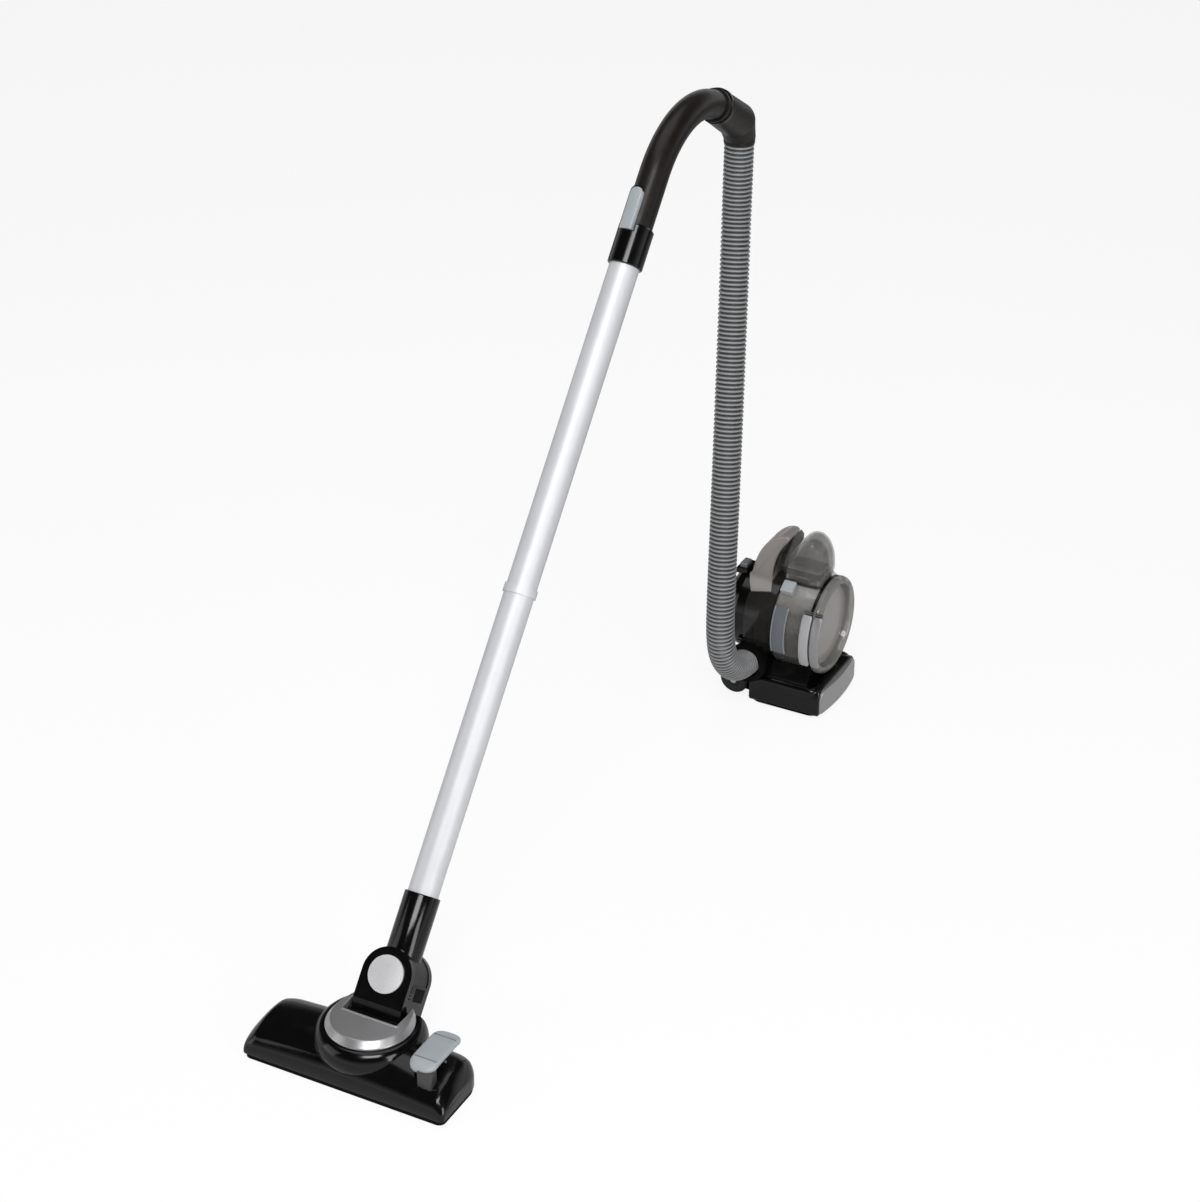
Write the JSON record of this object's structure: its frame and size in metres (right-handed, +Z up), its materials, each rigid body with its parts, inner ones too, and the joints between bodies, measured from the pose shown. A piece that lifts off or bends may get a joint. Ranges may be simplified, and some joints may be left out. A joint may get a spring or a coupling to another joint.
{
  "type": "canister vacuum cleaner",
  "caption": "Small canister vacuum cleaner with a clear dust cup, ribbed hose, straight metal wand, bent handle and swivelling floor head.",
  "frame": {"origin": "on the floor, under the middle of the bounding box of the whole object as it stands", "axes": "+Z up; +Y from the floor head towards the canister, along the lean of the wand; +X towards the front plate of the canister"},
  "size_m": [0.28, 1.0499, 0.8591],
  "materials": {
    "black_gloss": "glossy",
    "black_satin": "satin",
    "black_matte": "matte",
    "silver": "satin metallic",
    "aluminium": "satin",
    "grey_light": "satin",
    "smoke": "smoky translucent",
    "clear": "clear, lightly smoked",
    "hose": "satin",
    "rubber_black": "matte",
    "steel": "brushed",
    "filter": "felt",
    "bristle": "bristles"
  },
  "bodies": {
    "canister": {"base_lower_shell": "black_matte", "base_upper_shell": "black_gloss", "front_trim_plate": "silver", "rear_housing": "black_gloss", "exhaust_grille": "black_matte", "exhaust_filter": "filter", "motor_cover": "smoke", "motor_body": "steel", "fan_housing": "steel", "pre_motor_filter": "filter", "inlet_socket": "black_matte", "inlet_duct": "black_matte", "hose_connector": "black_matte", "hose": "hose", "hose_elbow": "black_satin", "swivel_ring": "black_satin", "carry_handle": "smoke", "power_switch": "black_matte", "cord_gland": "rubber_black", "wheel_axle": "steel", "cup_seal": "rubber_black"},
    "power_key": {"power_button": "grey_light"},
    "rotor": {"fan_rotor": "steel"},
    "wheel_near": {"rear_wheel_near": "rubber_black"},
    "wheel_far": {"rear_wheel_far": "rubber_black"},
    "caster": {"caster_fork": "black_matte"},
    "caster_roller": {"caster_wheel": "rubber_black"},
    "dust_cup": {"cup_shell": "clear", "cup_dome": "smoke", "cup_side_band": "grey_light", "cyclone_cone": "grey_light", "filter_shroud": "grey_light", "lid_hinge_pin": "steel"},
    "cup_release": {"cup_release_button": "grey_light"},
    "lid_latch": {"latch_lever": "silver"},
    "lid": {"lid_rim": "smoke", "lid_window": "clear", "lid_seal": "rubber_black", "lid_catch": "silver"},
    "wand": {"handle_tube": "black_satin", "handle_collar": "black_gloss", "hanging_eyelet": "black_matte", "upper_tube": "aluminium", "tube_joint_ring": "aluminium", "lower_tube": "aluminium", "neck_sleeve": "black_gloss"},
    "slider": {"suction_slider": "grey_light"},
    "yoke": {"yoke_front": "black_gloss", "yoke_back": "black_gloss", "yoke_cap_front": "silver", "yoke_cap_back": "silver"},
    "head": {"head_shell": "black_gloss", "turret_ring": "silver", "head_sole": "black_matte", "pedal_pin": "steel"},
    "foot_pedal": {"pedal": "grey_light"},
    "brushes": {"brush_carrier": "black_matte", "brush_strips": "bristle"},
    "roller_left": {"head_roller_left": "rubber_black"},
    "roller_right": {"head_roller_right": "rubber_black"}
  },
  "joints": [
    {"name": "power_press", "type": "slide", "parent": "canister", "child": "power_key", "axis": [0, 0, -1], "range_m": [0, 0.0015], "stiffness_N_per_m": 400, "springref_m": -0.0005},
    {"name": "fan_spin", "type": "hinge", "parent": "canister", "child": "rotor", "pos_m": [0.02, 0.45525, 0.1105], "axis": [1, 0, 0], "continuous": true},
    {"name": "wheel_near_roll", "type": "hinge", "parent": "canister", "child": "wheel_near", "pos_m": [0.00575, 0.41275, 0.0195], "axis": [0, 1, 0], "continuous": true},
    {"name": "wheel_far_roll", "type": "hinge", "parent": "canister", "child": "wheel_far", "pos_m": [0.00575, 0.49775, 0.0195], "axis": [0, 1, 0], "continuous": true},
    {"name": "caster_swivel", "type": "hinge", "parent": "canister", "child": "caster", "pos_m": [0.108, 0.45525, 0.02], "axis": [0, 0, 1], "continuous": true},
    {"name": "caster_roll", "type": "hinge", "parent": "caster", "child": "caster_roller", "pos_m": [0.101, 0.45525, 0.0085], "axis": [0, 1, 0], "continuous": true},
    {"name": "cup_pull", "type": "slide", "parent": "canister", "child": "dust_cup", "axis": [1, 0, 0], "range_m": [0, 0.12]},
    {"name": "cup_release_press", "type": "slide", "parent": "dust_cup", "child": "cup_release", "axis": [0, 0.4924, -0.8704], "range_m": [0, 0.002], "stiffness_N_per_m": 300, "springref_m": -0.0005},
    {"name": "latch_press", "type": "slide", "parent": "dust_cup", "child": "lid_latch", "axis": [0, 1, 0], "range_m": [0, 0.0012], "stiffness_N_per_m": 600, "springref_m": -0.0004},
    {"name": "lid_hinge", "type": "hinge", "parent": "dust_cup", "child": "lid", "pos_m": [0.115, 0.52235, 0.1105], "axis": [0, 0, 1], "range_deg": [0, 100]},
    {"name": "wand_swivel", "type": "hinge", "parent": "canister", "child": "wand", "pos_m": [-0.01275, 0.35289, 0.82792], "axis": [0, 0.891, -0.454], "continuous": true},
    {"name": "suction_slide", "type": "slide", "parent": "wand", "child": "slider", "axis": [0, 0.6414, 0.7672], "range_m": [0, 0.012]},
    {"name": "steer", "type": "hinge", "parent": "wand", "child": "yoke", "pos_m": [-0.01275, -0.40522, 0.0738], "axis": [0, 0.7672, -0.6414], "range_deg": [-40, 40]},
    {"name": "tilt", "type": "hinge", "parent": "yoke", "child": "head", "pos_m": [-0.01275, -0.44185, 0.03], "axis": [1, 0, 0], "range_deg": [-12, 38]},
    {"name": "pedal_rock", "type": "hinge", "parent": "head", "child": "foot_pedal", "pos_m": [0.07875, -0.4775, 0.047], "axis": [1, 0, 0], "range_deg": [0, 8]},
    {"name": "brush_drop", "type": "slide", "parent": "head", "child": "brushes", "axis": [0, 0, -1], "range_m": [0, 0.0035]},
    {"name": "roller_left_roll", "type": "hinge", "parent": "head", "child": "roller_left", "pos_m": [-0.10775, -0.45455, 0.007], "axis": [1, 0, 0], "continuous": true},
    {"name": "roller_right_roll", "type": "hinge", "parent": "head", "child": "roller_right", "pos_m": [0.08225, -0.45455, 0.007], "axis": [1, 0, 0], "continuous": true}
  ],
  "couplings": [
    {"joint": "brush_drop", "follows": "pedal_rock", "m_per_rad": 0.02502}
  ]
}
